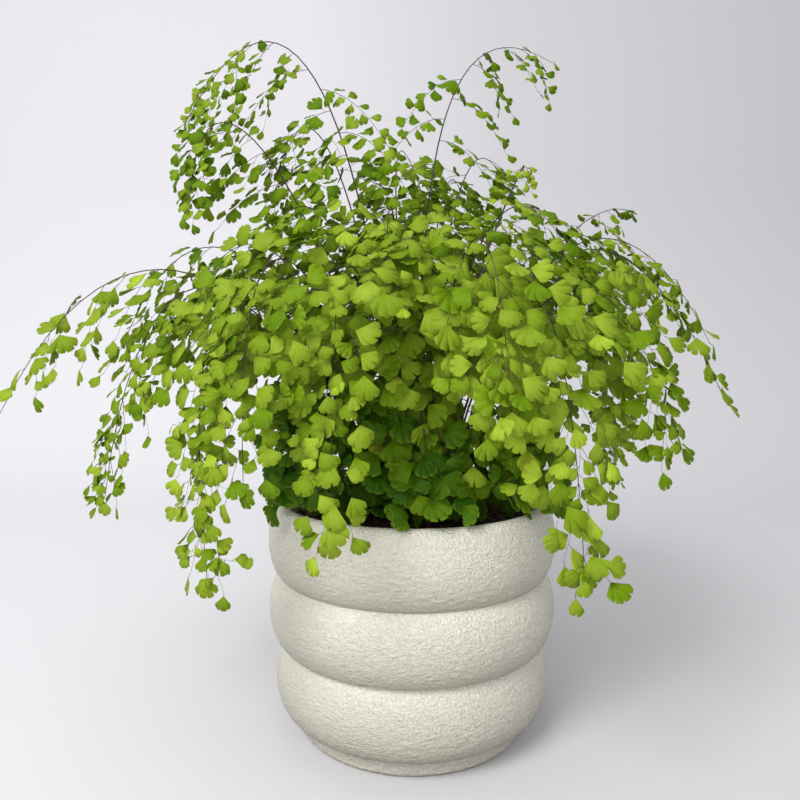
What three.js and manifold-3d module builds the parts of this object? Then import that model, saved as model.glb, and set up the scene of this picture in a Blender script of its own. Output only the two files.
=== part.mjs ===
// A maidenhair fern in a ribbed ceramic pot that stands on its own drip saucer.
// Lengths are millimetres and +Z is up. The origin is the centre of the saucer's underside.
// Every frond is one solid: a wiry stalk that stands in its own hole in the potting mix, and arched
// blades whose outlines are cut to the rib into fan-shaped leaflets.
import * as THREE from "three";
import { mergeVertices } from "three/addons/utils/BufferGeometryUtils.js";
import Module from "manifold-3d";

const wasm = await Module();
wasm.setup();

// ---------------------------------------------------------------- driving dimensions

const CLEARANCE = 0.3; // gap between two pieces that touch
const SIDES = 28; // facets round the pot, the mix and the saucer

const SAUCER = { radius: 72.3, height: 9, wall: 3, floor: 3, foot: 1.5 };

// Three stacked bulges, lowest first. Each swells from its creases to its widest radius.
const POT = {
  bulges: [
    { radius: 86, height: 32.5, below: 22, above: 25 },
    { radius: 89.7, height: 75.5, below: 22.3, above: 22.3 },
    { radius: 90, height: 116.5, below: 23.5, above: 26 },
  ],
  swell: 8, // how far a bulge stands out from where its ellipse ends
  creases: [54.5, 95.7], // heights where one bulge meets the next
  underside: { radius: 75, height: 10.4, round: 1.6 },
  foot: { radius: 65, inner: 58, recess: 2 },
  shoulder: { start: 128.5, radius: 86.4, height: 135.4 }, // where the top bulge turns in
  rim: { outer: 83.6, crown: 82, inner: 80.4, top: 140, round: 1 },
  mouth: { radius: 78, height: 135 }, // where the rim turns into the inner wall
  inside: { radius: 74, floor: 16 },
  drain: 6, // radius of the drain hole
};

const MIX = { edge: 126, crown: 130, shoulder: 42 }; // surface of the potting mix

// A stalk is sunk in the mix, upright to just above it, and bare where it bends below the leaves.
const STALK = { radius: 0.85, sunk: 14, upright: 1.5, bare: [0.18, 0.36] };
const HOLE = (STALK.radius + CLEARANCE) * Math.SQRT2;

// The tuft that the stalks rise from. Spread sets how soon a leaning frond reaches its edge.
const CROWN = { radius: 34, spacing: 5.5, spread: 1.1, passes: 60 };

// A frond passes its crest at this share of its curve. Its first control point is a little way out
// and well up on the way there.
const CURVE = { crestAt: 0.6, out: 0.12, up: 0.62 };

// A blade has a rib this half-width, falls away from it as the square of the distance, and each
// leaflet meets it over this half-width. Pitch is the step between leaflets as a share of their
// length, and leaflets shrink by the taper from the root of the blade to its end.
const BLADE = {
  thickness: 0.7,
  rib: 0.8,
  arch: 0.012,
  stem: 1,
  pitch: 0.84,
  taper: 0.28,
  end: 0.85, // the leaflet at the end, beside the first one
};

// A leaflet's outline: directions from the rib in degrees, and reach as a share of its length.
const FANS = {
  broad: [[114, 0.9], [68, 1.04], [22, 0.96]],
  small: [[104, 0.96], [32, 1]],
};
const SMALL = 14.5; // leaflets shorter than this have the small outline

// Where the pinnae leave the stalk along its curve, and how long each is beside the longest.
const PINNAE = [
  { at: 0.52, share: 1.0 },
  { at: 0.63, share: 0.9 },
  { at: 0.73, share: 0.72 },
];
const TERMINAL = { at: 0.8, sunk: 0.06, leaf: 0.9 }; // where the last blade takes over

// A pinna leans this many degrees from the stalk, turned down by the sag, and its end droops by a
// share of its length.
const PINNA = { lean: 56, sag: 0.25, straight: 0.5, reach: 0.95, droop: 0.3 };
const SWAYS = [0, 14, -14, 28, -28, 42, -42, 60]; // degrees a pinna may turn to miss others

// Each frond passes its crest and ends at its tip. Leaf is the length of its largest leaflets and
// spread is the length of its longest pinna.
const FRONDS = {
  // tall sprays that stand above the rest
  spray_tall_left: { crest: [-60, 0, 400], tip: [-134, -20, 366], leaf: 12, spread: 50 },
  spray_mid_left: { crest: [-88, -20, 350], tip: [-128, -34, 314], leaf: 12, spread: 44 },
  spray_low_left: { crest: [-54, 22, 364], tip: [-88, 12, 322], leaf: 13, spread: 44 },
  spray_centre: { crest: [-10, 34, 352], tip: [12, 62, 335], leaf: 13, spread: 44 },
  spray_tall_right: { crest: [22, 8, 382], tip: [90, 20, 419], leaf: 12, spread: 42 },
  spray_low_right: { crest: [32, 24, 338], tip: [62, 14, 334], leaf: 13, spread: 42 },
  spray_back: { crest: [24, 60, 345], tip: [48, 112, 318], leaf: 13, spread: 46 },
  // long arching fronds, from the right side round the back to the left
  arch_right_front: { crest: [92, -18, 290], tip: [183, -32, 203], leaf: 15, spread: 58 },
  arch_right: { crest: [104, 14, 300], tip: [194, 12, 238], leaf: 14, spread: 54 },
  arch_right_up: { crest: [92, 28, 296], tip: [156, 58, 332], leaf: 12, spread: 44 },
  arch_back_1: { crest: [96, 62, 308], tip: [172, 100, 232], leaf: 15, spread: 58 },
  arch_back_2: { crest: [66, 92, 312], tip: [118, 158, 222], leaf: 15, spread: 58 },
  arch_back_3: { crest: [20, 104, 318], tip: [34, 190, 226], leaf: 15, spread: 58 },
  arch_back_4: { crest: [-28, 106, 308], tip: [-48, 182, 206], leaf: 15, spread: 58 },
  arch_back_5: { crest: [-70, 88, 316], tip: [-118, 150, 222], leaf: 15, spread: 58 },
  arch_back_6: { crest: [-102, 52, 306], tip: [-182, 92, 220], leaf: 15, spread: 56 },
  arch_left_up: { crest: [-108, 12, 294], tip: [-184, 4, 236], leaf: 14, spread: 50 },
  arch_left_long: { crest: [-132, -20, 278], tip: [-236, -42, 196], leaf: 14, spread: 52 },
  // short broad fronds that roof the middle
  crown_left: { crest: [-46, -38, 302], tip: [-88, -72, 262], leaf: 16, spread: 54 },
  crown_front: { crest: [-10, -48, 298], tip: [-14, -104, 260], leaf: 17, spread: 56 },
  crown_right: { crest: [44, -34, 302], tip: [88, -64, 270], leaf: 16, spread: 56 },
  crown_back: { crest: [-18, 66, 322], tip: [-40, 118, 288], leaf: 15, spread: 54 },
  // hanging fronds, from the right side round the front to the left and the back
  fall_right: { crest: [84, -28, 272], tip: [122, -44, 182], leaf: 15, spread: 44 },
  fall_right_front: { crest: [78, -62, 262], tip: [130, -84, 186], leaf: 17, spread: 50 },
  fall_front_right: { crest: [50, -80, 268], tip: [76, -122, 137], leaf: 19, spread: 50 },
  fall_front_middle: { crest: [26, -84, 282], tip: [40, -134, 206], leaf: 18, spread: 48 },
  fall_front_left: { crest: [-30, -88, 272], tip: [-38, -122, 148], leaf: 17, spread: 40 },
  fall_left_front: { crest: [-62, -78, 276], tip: [-78, -122, 172], leaf: 17, spread: 48 },
  fall_left_low: { crest: [-88, -66, 262], tip: [-100, -106, 124], leaf: 16, spread: 46 },
  fall_left: { crest: [-110, -40, 268], tip: [-168, -62, 152], leaf: 14, spread: 46 },
  fall_left_back: { crest: [-98, 20, 262], tip: [-146, 34, 150], leaf: 15, spread: 48 },
  fall_back_left: { crest: [-66, 68, 266], tip: [-98, 108, 146], leaf: 16, spread: 50 },
  fall_back: { crest: [-2, 92, 268], tip: [-4, 140, 142], leaf: 16, spread: 50 },
  fall_back_right: { crest: [60, 70, 268], tip: [92, 112, 146], leaf: 16, spread: 50 },
  fall_right_back: { crest: [92, 18, 266], tip: [140, 30, 152], leaf: 15, spread: 48 },
  // young fronds low in the middle
  low_front: { crest: [2, -46, 206], tip: [8, -80, 158], leaf: 15, spread: 34 },
  low_right: { crest: [46, -30, 206], tip: [74, -54, 156], leaf: 14, spread: 34 },
  low_left: { crest: [-42, -34, 212], tip: [-66, -58, 160], leaf: 14, spread: 34 },
  low_back: { crest: [10, 44, 214], tip: [16, 76, 162], leaf: 14, spread: 34 },
};

// A frond still uncurling, whose stalk ends in a coil. It has small leaflets, one to each side.
const CROZIER = {
  crest: [56, 2, 312],
  tip: [70, 0, 342],
  coil: { radius: 6, end: 2.6, turns: 1.1, steps: 9 },
  sprigs: [0.62, 0.74, 0.86],
  sprig: 21,
  leaf: 9,
};

const GLAZE = new THREE.MeshStandardMaterial({ color: 0xece9df, roughness: 0.55 });
const SOIL = new THREE.MeshStandardMaterial({ color: 0x2e1f18, roughness: 0.95 });
const LEAF = new THREE.MeshStandardMaterial({ color: 0x6fa31c, roughness: 0.5 });

// ---------------------------------------------------------------- helpers

const UP = new THREE.Vector3(0, 0, 1);
const LIGHT = new THREE.Vector3(0, -0.5, 0.7); // leaflets turn towards this
const OUTWARD = 0.6; // and away from the middle of the plant by this
const point = (xyz) => new THREE.Vector3(...xyz);
const degrees = THREE.MathUtils.degToRad;

function solid(geometry) {
  const bare = geometry.clone();
  for (const name of Object.keys(bare.attributes)) {
    if (name !== "position") bare.deleteAttribute(name);
  }
  const merged = mergeVertices(bare, 1e-4);
  return new wasm.Manifold(
    new wasm.Mesh({
      numProp: 3,
      vertProperties: merged.attributes.position.array,
      triVerts: new Uint32Array(merged.index.array),
    }),
  );
}

function geometryOf(body) {
  const { vertProperties, triVerts } = body.getMesh();
  const geometry = new THREE.BufferGeometry();
  geometry.setAttribute("position", new THREE.BufferAttribute(vertProperties, 3));
  geometry.setIndex(new THREE.BufferAttribute(triVerts, 1));
  geometry.computeVertexNormals();
  return geometry;
}

// A LatheGeometry turns about Y, so it is stood up on +Z. A profile runs up the outside.
function turned(profile) {
  const points = profile.map(([r, z]) => new THREE.Vector2(r, z));
  return new THREE.LatheGeometry(points, SIDES).rotateX(Math.PI / 2);
}

// ---------------------------------------------------------------- pot, saucer and potting mix

function bulgePoints({ radius, height, below, above }, from, to, steps) {
  return Array.from({ length: steps + 1 }, (_, i) => {
    const z = from + ((to - from) * i) / steps;
    const u = (z - height) / (z < height ? below : above);
    return [radius - POT.swell * (1 - Math.sqrt(1 - u * u)), z];
  });
}

function potGeometry() {
  const { bulges, creases, underside, foot, shoulder, rim, mouth, inside, drain } = POT;
  const [low, middle, high] = bulges;
  const base = SAUCER.floor;
  return turned([
    [drain, base + foot.recess],
    [foot.inner, base + foot.recess],
    [foot.inner + 1, base],
    [foot.radius, base],
    [foot.radius, underside.height],
    [underside.radius, underside.height],
    ...bulgePoints(low, underside.height + underside.round, creases[0], 5),
    ...bulgePoints(middle, creases[0], creases[1], 4).slice(1),
    ...bulgePoints(high, creases[1], shoulder.start, 4).slice(1),
    [shoulder.radius, shoulder.height],
    [rim.outer, rim.top - rim.round],
    [rim.crown, rim.top],
    [rim.inner, rim.top - rim.round],
    [mouth.radius, mouth.height],
    [inside.radius, inside.floor],
    [drain, inside.floor],
    [drain, base + foot.recess],
  ]);
}

function saucerGeometry() {
  const { radius, height, wall, floor, foot } = SAUCER;
  return turned([
    [0, 0],
    [radius - foot, 0],
    [radius, foot],
    [radius, height],
    [radius - wall, height],
    [radius - wall, floor],
    [0, floor],
  ]);
}

// The radius of the pot's inner wall at a height.
function innerRadius(z) {
  const { mouth, inside } = POT;
  const share = (z - inside.floor) / (mouth.height - inside.floor);
  return inside.radius + share * (mouth.radius - inside.radius);
}

function mixSolid(roots) {
  const low = POT.inside.floor + CLEARANCE;
  const heap = solid(
    turned([
      [0, low],
      [innerRadius(low) - CLEARANCE, low],
      [innerRadius(MIX.edge) - CLEARANCE, MIX.edge],
      [MIX.shoulder, MIX.crown],
      [0, MIX.crown],
    ]),
  );
  const depth = STALK.sunk + CLEARANCE;
  const holes = roots.map(({ x, y }) => {
    const hole = new THREE.CylinderGeometry(HOLE, HOLE, 2 * depth, 4);
    return solid(hole.rotateX(Math.PI / 2).translate(x, y, MIX.crown));
  });
  return heap.subtract(wasm.Manifold.union(holes));
}

// ---------------------------------------------------------------- stalks

// A stalk's root lies towards its crest, further out the more the frond leans, and roots that are
// too close push each other apart.
function rootsOf(rows) {
  const roots = rows.map(({ crest: [x, y, z] }) => {
    const reach = Math.hypot(x, y);
    const lean = Math.min(1, (CROWN.spread * reach) / (z - MIX.crown));
    return new THREE.Vector2(x, y).multiplyScalar((CROWN.radius * lean) / reach);
  });
  for (let pass = 0; pass < CROWN.passes; pass++) {
    for (let i = 0; i < roots.length; i++) {
      for (let j = i + 1; j < roots.length; j++) {
        const away = roots[j].clone().sub(roots[i]);
        const short = CROWN.spacing - away.length();
        if (short <= 0) continue;
        away.setLength(short / 2);
        roots[j].add(away);
        roots[i].sub(away);
      }
    }
  }
  return roots;
}

// The curve of a frond from the surface of the mix, through its crest, to its tip. It starts
// steeply, and its third control point is the one that makes it pass the crest.
function frondCurve(root, row) {
  const t = CURVE.crestAt;
  const foot = new THREE.Vector3(root.x, root.y, MIX.crown);
  const crest = point(row.crest);
  const tip = point(row.tip);
  const rise = foot.clone().lerp(crest, CURVE.out);
  rise.z = foot.z + CURVE.up * (crest.z - foot.z);
  const turn = crest
    .clone()
    .addScaledVector(foot, -((1 - t) ** 3))
    .addScaledVector(rise, -3 * t * (1 - t) ** 2)
    .addScaledVector(tip, -(t ** 3))
    .divideScalar(3 * t * t * (1 - t));
  return new THREE.CubicBezierCurve3(foot, rise, turn, tip);
}

// A path through given stations, so that each station becomes one section of the tube.
class Stations extends THREE.Curve {
  constructor(points) {
    super();
    this.points = points;
  }

  getPoint(u, target = new THREE.Vector3()) {
    const last = this.points.length - 1;
    const i = Math.min(Math.floor(u * last + 1e-6), last - 1);
    return target.lerpVectors(this.points[i], this.points[i + 1], u * last - i);
  }

  getPointAt(u, target) {
    return this.getPoint(u, target);
  }

  getTangentAt(u, target = new THREE.Vector3()) {
    const last = this.points.length - 1;
    const i = Math.round(u * last);
    const before = this.points[Math.max(0, i - 1)];
    const after = this.points[Math.min(last, i + 1)];
    return target.subVectors(after, before).normalize();
  }
}

function tube(points, radius) {
  const section = new THREE.Shape();
  const half = radius * Math.sin(Math.PI / 3);
  section.moveTo(radius, 0).lineTo(-0.5 * radius, half).lineTo(-0.5 * radius, -half);
  const steps = points.length - 1;
  return solid(new THREE.ExtrudeGeometry(section, { steps, extrudePath: new Stations(points) }));
}

function footPoints(curve) {
  const foot = curve.getPoint(0);
  return [-STALK.sunk, STALK.upright].map((rise) => foot.clone().addScaledVector(UP, rise));
}

// A stalk stands upright in its hole and then follows the frond's curve.
function stalkPoints(curve) {
  const bends = [...STALK.bare, ...PINNAE.map(({ at }) => at), TERMINAL.at];
  return [...footPoints(curve), ...bends.map((at) => curve.getPoint(at))];
}

// ---------------------------------------------------------------- blades

// Triangles that share the first of the corners.
function fan(corners) {
  return corners.slice(2).map((corner, i) => [corners[0], corners[i + 1], corner]);
}

// Triangles from a start between two chains of points, which are taken in the order they come.
function strip(start, right, left) {
  let [a, ...rights] = right;
  let [b, ...lefts] = left;
  const faces = [[start, a, b]];
  while (rights.length + lefts.length > 0) {
    const onRight = !lefts.length || (rights.length > 0 && rights[0][0] <= lefts[0][0]);
    const next = onRight ? rights.shift() : lefts.shift();
    faces.push([a, next, b]);
    if (onRight) a = next;
    else b = next;
  }
  return faces;
}

// A leaflet's points in distance along the rib and across it. The first and last are on the rib.
function leafletPoints(s, side, size) {
  const points = (size < SMALL ? FANS.small : FANS.broad).map(([angle, reach]) => {
    const along = reach * size * Math.cos(degrees(angle));
    const across = reach * size * Math.sin(degrees(angle));
    return [s + along, side * (BLADE.rib + across)];
  });
  return [[s - BLADE.stem, side * BLADE.rib], ...points, [s + BLADE.stem, side * BLADE.rib]];
}

// The outline of a blade, walked round once, and the triangles that fill it: a fan for each
// leaflet, and a strip along the rib, so that none is long where the rib bends.
function bladeOutline(length, leaf) {
  const start = [0, 0];
  const sides = { right: [], left: [] };
  const chains = { right: [], left: [] };
  const faces = [];
  const end = BLADE.end * leaf;
  const last = length - end;
  let side = 1;
  let size = leaf;
  let s = 0.5 * leaf;
  while (s < last - 0.5 * size) {
    const name = side > 0 ? "right" : "left";
    const points = leafletPoints(s, side, size);
    sides[name].push(...points);
    chains[name].push(points[0], points.at(-1));
    faces.push(...fan(points));
    s += BLADE.pitch * size;
    size = leaf * (1 - BLADE.taper * (s / length));
    side = -side;
  }
  const tip = [
    [last, BLADE.rib],
    [last + 0.72 * end, 0.5 * end],
    [length, 0],
    [last + 0.72 * end, -0.5 * end],
    [last, -BLADE.rib],
  ];
  faces.push(...fan(tip));
  faces.push(...strip(start, [...chains.right, tip[0]], [...chains.left, tip.at(-1)]));
  const outline = [start, ...sides.right, ...tip, ...sides.left.reverse()];
  const places = new Map(outline.map((corner, i) => [corner, i]));
  return { outline, faces: faces.map((face) => face.map((corner) => places.get(corner))) };
}

// A thin arched blade along a rib curve. Both faces are split into the same triangles.
function blade(rib, leaf, face) {
  const length = rib.getLength();
  const { outline, faces } = bladeOutline(length, leaf);
  const flat = outline.map(([s, w]) => new THREE.Vector2(s, w));
  const count = outline.length;
  const places = [];
  for (const half of [0.5, -0.5]) {
    for (const [s, w] of outline) {
      const u = s / length;
      const along = rib.getTangentAt(u);
      const across = face.clone().cross(along).normalize();
      const normal = along.clone().cross(across);
      const place = rib.getPointAt(u).addScaledVector(across, w);
      place.addScaledVector(normal, half * BLADE.thickness - BLADE.arch * w * w);
      places.push(place.x, place.y, place.z);
    }
  }
  const index = [];
  for (const [a, b, c] of faces) {
    const turn = flat[b].clone().sub(flat[a]).cross(flat[c].clone().sub(flat[a]));
    const [p, q] = turn > 0 ? [b, c] : [c, b];
    index.push(a, p, q, a + count, q + count, p + count);
  }
  for (let i = 0; i < count; i++) {
    const j = (i + 1) % count;
    index.push(i, j, j + count, i, j + count, i + count);
  }
  const geometry = new THREE.BufferGeometry();
  geometry.setAttribute("position", new THREE.Float32BufferAttribute(places, 3));
  geometry.setIndex(index);
  return solid(geometry);
}

function faceAt(place) {
  return new THREE.Vector3(place.x, place.y, 0).setLength(OUTWARD).add(LIGHT).normalize();
}

// A pinna leaves the stalk to one side and droops.
function pinna(curve, at, side, length, leaf, sway) {
  const start = curve.getPoint(at);
  const along = curve.getTangent(at);
  const face = faceAt(start);
  const across = face.clone().cross(along).normalize();
  const aim = along.clone().applyAxisAngle(along.clone().cross(across), side * degrees(PINNA.lean));
  aim.applyAxisAngle(along, degrees(sway)).addScaledVector(UP, -PINNA.sag).normalize();
  const middle = start.clone().addScaledVector(aim, PINNA.straight * length);
  const end = start.clone().addScaledVector(aim, PINNA.reach * length);
  end.addScaledVector(UP, -PINNA.droop * length);
  return blade(new THREE.QuadraticBezierCurve3(start, middle, end), leaf, face);
}

// The last blade takes over from the stalk at its end, a little way inside it, and runs to the tip.
function terminal(curve, leaf) {
  const end = curve.getPoint(TERMINAL.at);
  const inside = end.clone().lerp(curve.getPoint(PINNAE.at(-1).at), TERMINAL.sunk);
  const ahead = [0.25, 0.5, 0.75, 1].map((u) => {
    return curve.getPoint(TERMINAL.at + (1 - TERMINAL.at) * u);
  });
  const rib = new THREE.CatmullRomCurve3([inside, ...ahead]);
  return blade(rib, TERMINAL.leaf * leaf, faceAt(end));
}

// ---------------------------------------------------------------- the uncurling frond

// The stalk rises to its tip and then rolls inwards over the side it came from.
function crozierSolid(curve) {
  const { coil, sprigs, sprig, leaf } = CROZIER;
  const points = footPoints(curve);
  for (const at of [...STALK.bare, ...sprigs, 1]) points.push(curve.getPoint(at));
  const ahead = curve.getTangent(1);
  const sideways = new THREE.Vector3(0, 1, 0);
  const inward = ahead.clone().cross(sideways).normalize();
  const eye = points.at(-1).clone().addScaledVector(inward, coil.radius);
  for (let i = 1; i <= coil.steps; i++) {
    const share = i / coil.steps;
    const turn = share * coil.turns * 2 * Math.PI;
    const radius = coil.radius + share * (coil.end - coil.radius);
    const arm = inward.clone().multiplyScalar(-Math.cos(turn)).addScaledVector(ahead, Math.sin(turn));
    points.push(eye.clone().addScaledVector(arm, radius));
  }
  const bodies = [tube(points, STALK.radius)];
  sprigs.forEach((at, n) => {
    bodies.push(pinna(curve, at, n % 2 ? 1 : -1, sprig, leaf, 0));
  });
  return wasm.Manifold.union(bodies);
}

// ---------------------------------------------------------------- the whole plant

class Thicket {
  constructor(fixed) {
    this.pieces = fixed.map((body) => this.entry(body));
  }

  entry(body) {
    const { min, max } = body.boundingBox();
    return { body, min, max };
  }

  // Whether a body keeps the clearance to everything but the stalk that it grows from.
  clears(body, stalk) {
    const fresh = this.entry(body);
    return this.pieces.every((other) => {
      if (other.body === stalk) return true;
      for (let axis = 0; axis < 3; axis++) {
        if (fresh.min[axis] > other.max[axis] + CLEARANCE) return true;
        if (other.min[axis] > fresh.max[axis] + CLEARANCE) return true;
      }
      return body.minGap(other.body, 2 * CLEARANCE) >= CLEARANCE;
    });
  }

  add(body) {
    this.pieces.push(this.entry(body));
  }
}

const names = Object.keys(FRONDS);
const rows = [...Object.values(FRONDS), CROZIER];
const roots = rootsOf(rows);
const curves = rows.map((row, i) => frondCurve(roots[i], row));

const group = new THREE.Group();

function place(name, geometry, material) {
  const mesh = new THREE.Mesh(geometry, material);
  mesh.name = name;
  group.add(mesh);
}

const pot = potGeometry();
const mix = mixSolid(roots);
place("saucer", saucerGeometry(), GLAZE);
place("pot", pot, GLAZE);
place("potting_mix", geometryOf(mix), SOIL);

const crozier = crozierSolid(curves.at(-1));
place("frond_young", geometryOf(crozier), LEAF);

const thicket = new Thicket([solid(pot), mix, crozier]);

function keep(name, body, stalk) {
  if (!thicket.clears(body, stalk)) throw new Error(`${name} is too close to another piece`);
  thicket.add(body);
  return body;
}

const stalks = names.map((name, i) => keep(name, tube(stalkPoints(curves[i]), STALK.radius)));
const tips = names.map((name, i) => keep(name, terminal(curves[i], rows[i].leaf), stalks[i]));

// A pinna takes the first sway that clears its neighbours, and one with no room is left out.
names.forEach((name, i) => {
  const { leaf, spread } = rows[i];
  const bodies = [stalks[i], tips[i]];
  PINNAE.forEach(({ at, share }, n) => {
    const side = (i + n) % 2 ? 1 : -1;
    for (const sway of SWAYS) {
      const body = pinna(curves[i], at, side, share * spread, leaf, sway);
      if (!thicket.clears(body, stalks[i])) continue;
      thicket.add(body);
      bodies.push(body);
      return;
    }
  });
  place(`frond_${name}`, geometryOf(wasm.Manifold.union(bodies)), LEAF);
});

export default group;
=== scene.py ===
"""A maidenhair fern in its ribbed ceramic pot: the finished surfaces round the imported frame.

Tables and profiles are in millimetres and become metres where a mesh is written.
"""
import random
from collections import namedtuple
from math import ceil, cos, hypot, pi, radians, sin, sqrt

import bpy
import numpy as np
from mathutils import Matrix, Quaternion, Vector


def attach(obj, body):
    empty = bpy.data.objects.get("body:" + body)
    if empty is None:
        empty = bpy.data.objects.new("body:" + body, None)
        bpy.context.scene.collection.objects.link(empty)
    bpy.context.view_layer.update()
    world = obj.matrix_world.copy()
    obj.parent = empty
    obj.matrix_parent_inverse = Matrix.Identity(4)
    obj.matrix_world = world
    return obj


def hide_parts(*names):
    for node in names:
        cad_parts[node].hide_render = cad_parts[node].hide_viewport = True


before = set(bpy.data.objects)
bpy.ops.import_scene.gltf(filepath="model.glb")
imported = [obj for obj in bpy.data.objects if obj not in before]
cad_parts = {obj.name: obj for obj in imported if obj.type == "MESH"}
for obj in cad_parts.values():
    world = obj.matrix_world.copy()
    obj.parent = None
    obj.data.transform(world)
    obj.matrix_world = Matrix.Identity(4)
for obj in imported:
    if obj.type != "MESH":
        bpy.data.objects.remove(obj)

bl_info = {
    "name": "Maidenhair fern in a ribbed pot",
    "version": (1, 0, 0),
    "blender": (4, 5, 0),
    "location": "View3D > Sidebar > Fern",
    "description": "Builds a potted maidenhair fern from the frame's measures",
    "category": "Add Mesh",
}

MM = 0.001
BODY = "root"
UP = Vector((0, 0, 1))
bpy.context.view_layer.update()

# ---- measures of the plant

# Three stacked bulges, lowest first: widest radius, its height, and the ellipse below and above it.
Bulge = namedtuple("Bulge", "radius height below above")
BULGES = [
    Bulge(86, 32.5, 21.6, 23.6),
    Bulge(89.7, 75.5, 22.6, 21.7),
    Bulge(90, 116.5, 22.4, 26),
]
SWELL = 10.7  # how far a bulge stands out from where its ellipse ends
CREASES = [54.5, 95.7]  # heights where one bulge meets the next
BASE = 3  # the pot stands on the saucer's floor at this height
UNDERSIDE = (73.6, 10.4)  # radius and height of the pot's flat underside
SHOULDER = 128.5  # height where the top bulge turns in to the rim
RIM = (82, 140)  # radius and height of the rim's crown
MOUTH = (78, 135)  # radius and height where the rim turns into the inner wall
INSIDE = (74, 16)  # radius and height of the pot's floor inside
WALL_AT = (0.01, 0.02, 0.03, 0.05, 0.07, 0.1, 0.3, 0.6, 0.95)  # rows of the inner wall
SAUCER = {"radius": 72.3, "height": 9, "wall": 3, "relief_from": 68}

MIX = {"edge": 126, "crown": 130, "shoulder": 42}  # surface of the potting mix
STALK = {"radius": 0.8, "sunk": 14, "upright": 1.5, "tip": 0.22, "taper": 0.8, "steps": 30}
STUBS = {"towards": -12, "spread": 16, "reach": (36, 44), "height": (22, 50), "lean": (0.1, 0.5)}
CROWN = {"radius": 34, "spacing": 5.5, "spread": 1.1, "passes": 60}
HEAP = {"relief": 3.2, "cell": 7, "steps": 240}  # lumps of the mix's own surface
CRUMB_KINDS = 5
GOLDEN_TURN = 2.39996  # from one crumb to the next round the mix, in radians
SEEDS = {"fibres": 23, "crumbs": 11, "stubs": 3, "young": 5}

# The share of its curve at which a frond passes its crest, and how far out and up it starts.
CURVE = {"crest_at": 0.6, "out": 0.12, "up": 0.62}
OUTWARD = 0.6  # how far leaflets turn away from the middle of the plant

# Each frond passes its crest and ends at its tip. Leaf and spread are the lengths of its largest
# leaflets and of its longest pinna.
Frond = namedtuple("Frond", "crest tip leaf spread")
FROND_ROWS = {
    # tall sprays that stand above the rest
    "spray_tall_left": ((-60, 0, 400), (-134, -20, 366), 12, 50),
    "spray_mid_left": ((-88, -20, 350), (-128, -34, 314), 12, 44),
    "spray_low_left": ((-54, 22, 364), (-88, 12, 322), 13, 44),
    "spray_centre": ((-10, 34, 352), (12, 62, 335), 13, 44),
    "spray_tall_right": ((22, 8, 382), (90, 20, 419), 12, 42),
    "spray_low_right": ((32, 24, 338), (62, 14, 334), 13, 42),
    "spray_back": ((24, 60, 345), (48, 112, 318), 13, 46),
    # long arching fronds, from the right side round the back to the left
    "arch_right_front": ((92, -18, 290), (183, -32, 203), 15, 58),
    "arch_right": ((104, 14, 300), (194, 12, 238), 14, 54),
    "arch_right_up": ((92, 28, 296), (156, 58, 332), 12, 44),
    "arch_back_1": ((96, 62, 308), (172, 100, 232), 15, 58),
    "arch_back_2": ((66, 92, 312), (118, 158, 222), 15, 58),
    "arch_back_3": ((20, 104, 318), (34, 190, 226), 15, 58),
    "arch_back_4": ((-28, 106, 308), (-48, 182, 206), 15, 58),
    "arch_back_5": ((-70, 88, 316), (-118, 150, 222), 15, 58),
    "arch_back_6": ((-102, 52, 306), (-182, 92, 220), 15, 56),
    "arch_left_up": ((-108, 12, 294), (-184, 4, 236), 14, 50),
    "arch_left_long": ((-132, -20, 278), (-236, -42, 196), 14, 52),
    # short broad fronds that roof the middle
    "crown_left": ((-46, -38, 302), (-88, -72, 262), 16, 54),
    "crown_front": ((-10, -48, 298), (-14, -104, 260), 17, 56),
    "crown_right": ((44, -34, 302), (88, -64, 270), 16, 56),
    "crown_back": ((-18, 66, 322), (-40, 118, 288), 15, 54),
    # hanging fronds, from the right side round the front to the left and the back
    "fall_right": ((84, -28, 272), (122, -44, 182), 15, 44),
    "fall_right_front": ((78, -62, 262), (130, -84, 186), 17, 50),
    "fall_front_right": ((50, -80, 268), (76, -122, 137), 19, 50),
    "fall_front_middle": ((26, -84, 282), (40, -134, 206), 18, 48),
    "fall_front_left": ((-30, -88, 272), (-38, -122, 148), 17, 40),
    "fall_left_front": ((-62, -78, 276), (-78, -122, 172), 17, 48),
    "fall_left_low": ((-88, -66, 262), (-100, -106, 124), 16, 46),
    "fall_left": ((-110, -40, 268), (-168, -62, 152), 14, 46),
    "fall_left_back": ((-98, 20, 262), (-146, 34, 150), 15, 48),
    "fall_back_left": ((-66, 68, 266), (-98, 108, 146), 16, 50),
    "fall_back": ((-2, 92, 268), (-4, 140, 142), 16, 50),
    "fall_back_right": ((60, 70, 268), (92, 112, 146), 16, 50),
    "fall_right_back": ((92, 18, 266), (140, 30, 152), 15, 48),
    # young fronds low in the middle
    "low_front": ((2, -46, 206), (8, -80, 158), 15, 34),
    "low_right": ((46, -30, 206), (74, -54, 156), 14, 34),
    "low_left": ((-42, -34, 212), (-66, -58, 160), 14, 34),
    "low_back": ((10, 44, 214), (16, 76, 162), 14, 34),
}
FRONDS = {name: Frond(*row) for name, row in FROND_ROWS.items()}

# A frond still uncurling, whose stalk ends in a coil.
YOUNG = Frond((54, 2, 312), (69, 0, 345), 5.5, 12)
COIL = {"radius": 3.4, "end": 2.0, "turns": 0.85, "steps": 20}
SPRIGS = [0.60, 0.70, 0.78, 0.85, 0.91, 0.96]  # where its sprigs leave the stalk

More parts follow.
